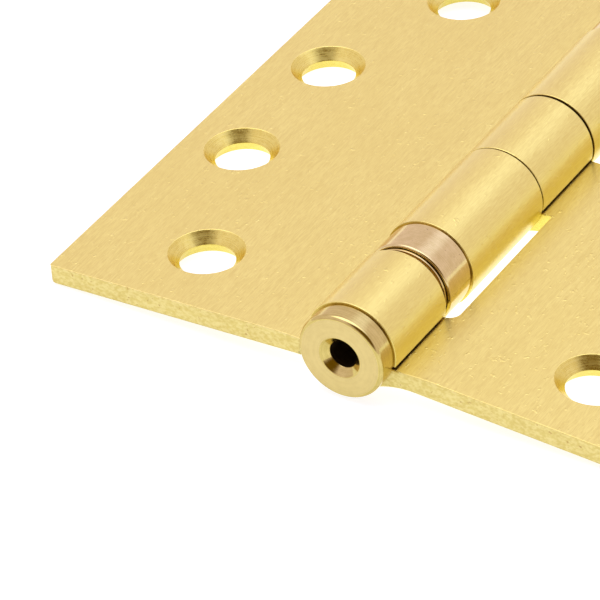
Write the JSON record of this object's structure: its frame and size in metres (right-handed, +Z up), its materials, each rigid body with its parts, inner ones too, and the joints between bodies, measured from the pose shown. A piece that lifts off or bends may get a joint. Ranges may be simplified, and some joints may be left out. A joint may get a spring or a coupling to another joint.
{
  "type": "door hinge",
  "caption": "Full-mortise butt hinge for a door, with interleaved knuckles, a loose pin, ball bearings between knuckles and staggered countersunk screw holes in each leaf.",
  "frame": {"origin": "on the surface that the open hinge lies on, under the middle of the barrel", "axes": "+Y along the barrel towards the pin's head, +X out over the three-knuckle leaf, +Z up from the surface"},
  "size_m": [0.1014, 0.1084, 0.0142],
  "materials": {
    "satin_brass": "brushed satin along the barrel, clear lacquer",
    "turned_brass": "fine turned, softly polished on the rim",
    "bearing_bronze": "polished bronze",
    "race_steel": "ground steel, oiled",
    "ball_steel": "polished steel"
  },
  "bodies": {
    "root": {"three_knuckle_leaf": "satin_brass", "bottom_tip": "turned_brass", "lower_bearing_fixed_race": "race_steel", "upper_bearing_fixed_race": "race_steel"},
    "swing_leaf": {"two_knuckle_leaf": "satin_brass", "lower_bearing_shell": "bearing_bronze", "lower_bearing_turning_race": "race_steel", "upper_bearing_shell": "bearing_bronze", "upper_bearing_turning_race": "race_steel"},
    "lower_ball_set": {"lower_bearing_ball_01": "ball_steel", "lower_bearing_ball_02": "ball_steel", "lower_bearing_ball_03": "ball_steel", "lower_bearing_ball_04": "ball_steel", "lower_bearing_ball_05": "ball_steel", "lower_bearing_ball_06": "ball_steel", "lower_bearing_ball_07": "ball_steel", "lower_bearing_ball_08": "ball_steel", "lower_bearing_ball_09": "ball_steel", "lower_bearing_ball_10": "ball_steel", "lower_bearing_ball_11": "ball_steel", "lower_bearing_ball_12": "ball_steel", "lower_bearing_ball_13": "ball_steel", "lower_bearing_ball_14": "ball_steel", "lower_bearing_ball_15": "ball_steel", "lower_bearing_ball_16": "ball_steel", "lower_bearing_ball_17": "ball_steel", "lower_bearing_ball_18": "ball_steel"},
    "upper_ball_set": {"upper_bearing_ball_01": "ball_steel", "upper_bearing_ball_02": "ball_steel", "upper_bearing_ball_03": "ball_steel", "upper_bearing_ball_04": "ball_steel", "upper_bearing_ball_05": "ball_steel", "upper_bearing_ball_06": "ball_steel", "upper_bearing_ball_07": "ball_steel", "upper_bearing_ball_08": "ball_steel", "upper_bearing_ball_09": "ball_steel", "upper_bearing_ball_10": "ball_steel", "upper_bearing_ball_11": "ball_steel", "upper_bearing_ball_12": "ball_steel", "upper_bearing_ball_13": "ball_steel", "upper_bearing_ball_14": "ball_steel", "upper_bearing_ball_15": "ball_steel", "upper_bearing_ball_16": "ball_steel", "upper_bearing_ball_17": "ball_steel", "upper_bearing_ball_18": "ball_steel"},
    "hinge_pin": {"pin": "turned_brass"}
  },
  "joints": [
    {"name": "leaf_swing", "type": "hinge", "parent": "root", "child": "swing_leaf", "pos_m": [0, 0, 0.0071], "axis": [0, 1, 0], "range_deg": [0, 185.88]},
    {"name": "lower_balls_orbit", "type": "hinge", "parent": "root", "child": "lower_ball_set", "pos_m": [0, 0, 0.0071], "axis": [0, 1, 0], "range_deg": [0, 93]},
    {"name": "upper_balls_orbit", "type": "hinge", "parent": "root", "child": "upper_ball_set", "pos_m": [0, 0, 0.0071], "axis": [0, 1, 0], "range_deg": [0, 93]},
    {"name": "pin_slide", "type": "slide", "parent": "root", "child": "hinge_pin", "axis": [0, 1, 0], "range_m": [0, 0.085]}
  ],
  "couplings": [
    {"joint": "lower_balls_orbit", "follows": "leaf_swing", "ratio": 0.5},
    {"joint": "upper_balls_orbit", "follows": "leaf_swing", "ratio": 0.5}
  ]
}
